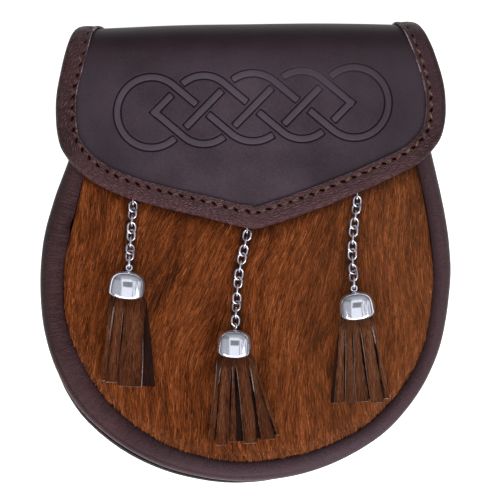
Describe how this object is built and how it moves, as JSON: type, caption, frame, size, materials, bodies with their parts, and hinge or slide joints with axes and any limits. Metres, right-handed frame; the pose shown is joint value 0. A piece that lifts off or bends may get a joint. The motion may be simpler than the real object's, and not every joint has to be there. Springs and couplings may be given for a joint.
{
  "type": "sporran pouch",
  "caption": "Lying leather sporran pouch with a hair-on hide front, a folded bound flap with an embossed interlace, chain-hung tassels and rear strap loops.",
  "frame": {"origin": "middle of the whole outline, on the surface that the back lies on", "axes": "+X to the right as the front is seen, +Y up the pouch to the fold of the flap, +Z out of the front"},
  "size_m": [0.18, 0.2044, 0.0498],
  "materials": {
    "flap_leather": "smooth dark grained leather with a faint embossed interlace",
    "trim_leather": "grained dark brown leather, wrinkled where it turns",
    "body_leather": "plain dark brown leather",
    "hair_hide": "hair-on hide, rust brown with dark streaks",
    "tassel_hide": "hair-on hide strips with pale cut edges",
    "chrome": "polished chrome plate"
  },
  "bodies": {
    "root": {"back_panel": "body_leather", "flap": "flap_leather", "flap_binding": "trim_leather", "gusset": "body_leather", "hide_front": "hair_hide", "left_cap": "chrome", "left_link_01": "chrome", "left_link_02": "chrome", "left_link_03": "chrome", "left_link_04": "chrome", "left_link_05": "chrome", "left_link_06": "chrome", "left_link_07": "chrome", "left_link_08": "chrome", "left_link_09": "chrome", "left_staple": "chrome", "left_tassel": "tassel_hide", "middle_cap": "chrome", "middle_link_01": "chrome", "middle_link_02": "chrome", "middle_link_03": "chrome", "middle_link_04": "chrome", "middle_link_05": "chrome", "middle_link_06": "chrome", "middle_link_07": "chrome", "middle_link_08": "chrome", "middle_link_09": "chrome", "middle_link_10": "chrome", "middle_link_11": "chrome", "middle_link_12": "chrome", "middle_staple": "chrome", "middle_tassel": "tassel_hide", "right_cap": "chrome", "right_link_01": "chrome", "right_link_02": "chrome", "right_link_03": "chrome", "right_link_04": "chrome", "right_link_05": "chrome", "right_link_06": "chrome", "right_link_07": "chrome", "right_link_08": "chrome", "right_link_09": "chrome", "right_link_10": "chrome", "right_link_11": "chrome", "right_link_12": "chrome", "right_staple": "chrome", "right_tassel": "tassel_hide", "rim_roll": "trim_leather", "strap_loop_left": "body_leather", "strap_loop_right": "body_leather"}
  },
  "joints": []
}
